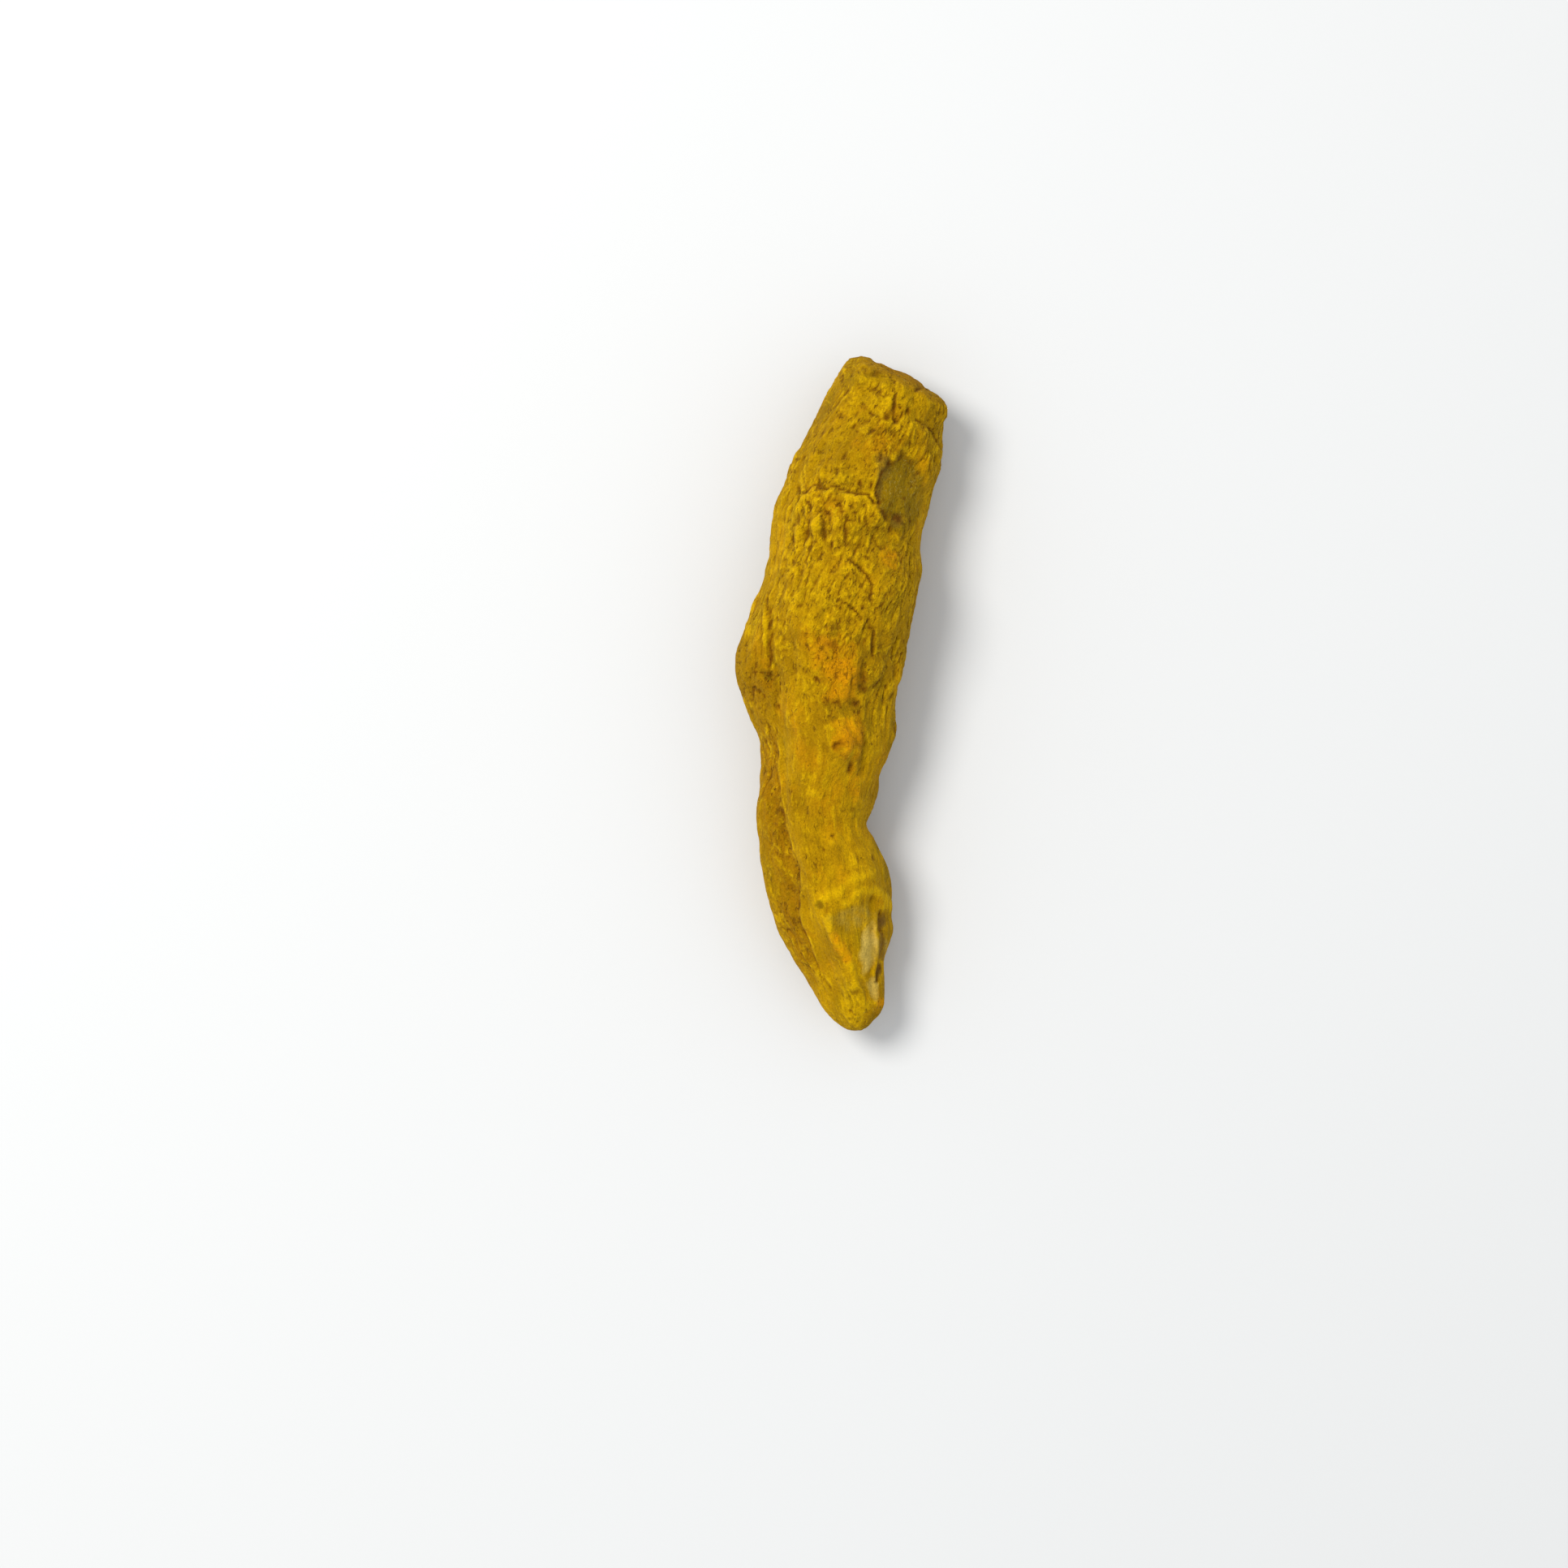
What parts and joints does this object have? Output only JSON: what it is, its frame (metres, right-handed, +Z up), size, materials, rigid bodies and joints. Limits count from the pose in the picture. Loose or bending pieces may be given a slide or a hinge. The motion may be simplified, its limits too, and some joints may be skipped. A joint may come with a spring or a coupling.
{
  "type": "dried turmeric root",
  "caption": "Dried turmeric finger lying on its side: a bent, wrinkled rhizome with a cut end, a side knob, bud scars and a blunt tip.",
  "frame": {"origin": "middle of the bounding box, on the surface that the finger lies on", "axes": "+Z up, +Y along the finger towards its cut end, +X to the right of the finger seen from above with the cut end at the top"},
  "size_m": [0.0226, 0.0722, 0.0158],
  "materials": {
    "dried_skin": "matt, powdery and finely wrinkled mustard yellow skin, with orange patches, an olive scar and a pale worn patch near the tip"
  },
  "bodies": {
    "root": {"turmeric_root": "dried_skin"}
  },
  "joints": []
}
